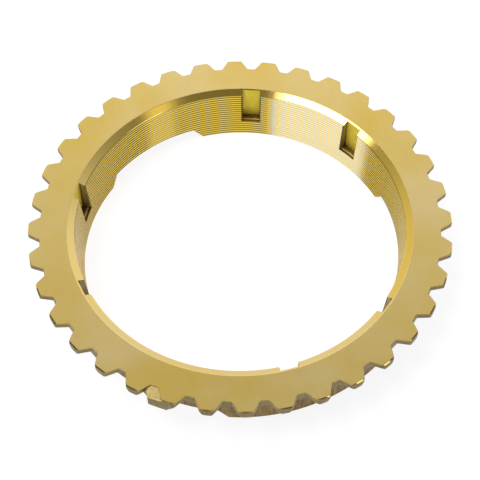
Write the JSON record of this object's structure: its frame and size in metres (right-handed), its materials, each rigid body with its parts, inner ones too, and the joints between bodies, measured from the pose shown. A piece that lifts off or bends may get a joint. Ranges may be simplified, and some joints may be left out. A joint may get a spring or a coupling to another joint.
{
  "type": "synchronizer ring",
  "caption": "Brass synchronizer ring with an outer ring of blocking teeth, a grooved cone bore with axial oil slots, and key notches in its lower edge.",
  "frame": {"origin": "on the ring's axis, in the plane of the lug feet at the small end of the cone", "axes": "+Z along the ring's axis towards the flat toothed face; the first tooth and the first key notch lie close to +X"},
  "size_m": [0.08, 0.08, 0.0113],
  "materials": {
    "brass": "satin machined brass with fine turning marks"
  },
  "bodies": {
    "root": {"synchronizer_ring": "brass"}
  },
  "joints": []
}
